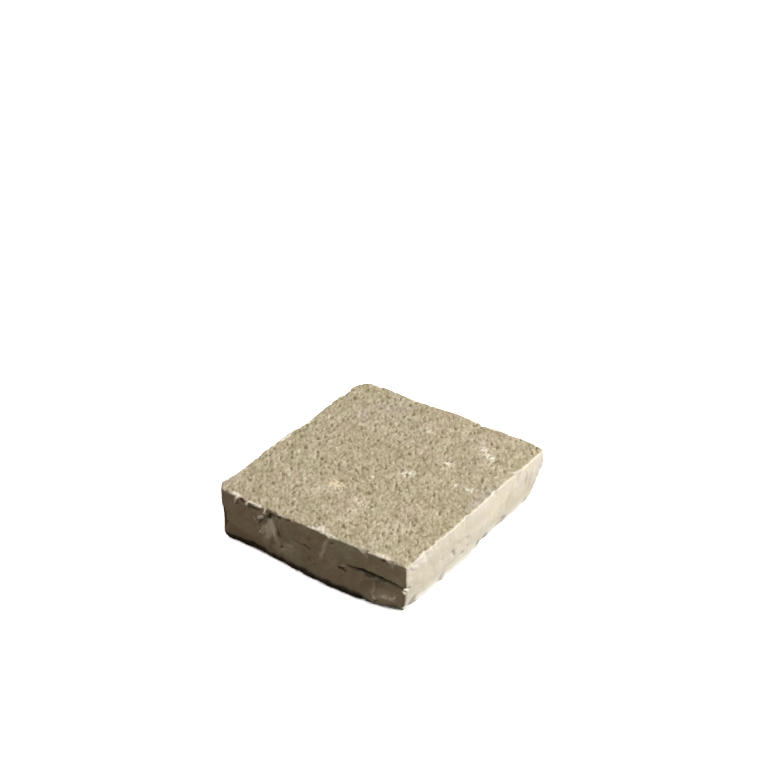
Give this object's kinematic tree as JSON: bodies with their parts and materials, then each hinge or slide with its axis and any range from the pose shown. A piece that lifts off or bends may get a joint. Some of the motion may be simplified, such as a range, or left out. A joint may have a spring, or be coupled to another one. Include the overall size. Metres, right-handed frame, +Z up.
{
  "type": "limestone sett",
  "caption": "Hand-dressed square limestone paving sett with a flat textured walking face, undercut split sides and a flat bed.",
  "frame": {"origin": "middle of the bed face, under the middle of the stone's bounding box", "axes": "+X along the front side (the side with the open bedding seam), +Y from that side to the back, +Z up from the bed to the walking face"},
  "size_m": [0.1949, 0.2054, 0.0505],
  "materials": {
    "limestone": "textured walking face with fine pits and grains, split and dressed sides, matt"
  },
  "bodies": {
    "root": {"sett": "limestone"}
  },
  "joints": []
}
